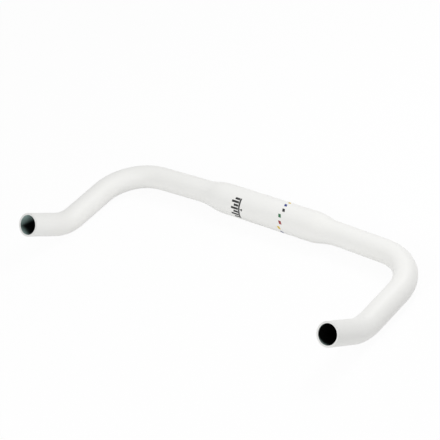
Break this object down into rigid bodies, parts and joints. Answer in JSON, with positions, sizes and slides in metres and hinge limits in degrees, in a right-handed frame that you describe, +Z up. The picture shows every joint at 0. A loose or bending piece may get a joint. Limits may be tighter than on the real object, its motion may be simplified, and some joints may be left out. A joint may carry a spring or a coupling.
{
  "type": "bullhorn handlebar",
  "caption": "Bent bicycle bar with a fat middle for the stem's clamp, forward horns and upturned open ends.",
  "frame": {"origin": "middle of the stem clamp section, on its axis", "axes": "+X along the clamp section to the rider's left, -Y forwards along the horns, +Z up, with the bar lying on a table on its clamp section and both lift bends"},
  "size_m": [0.4, 0.18, 0.053],
  "materials": {
    "white_paint": "smooth satin white paint on aluminium, bare and dark inside the open ends",
    "clamp_print": "thin setting marks printed in ink on the clamp section"
  },
  "bodies": {
    "root": {"handlebar": "white_paint"}
  },
  "joints": []
}
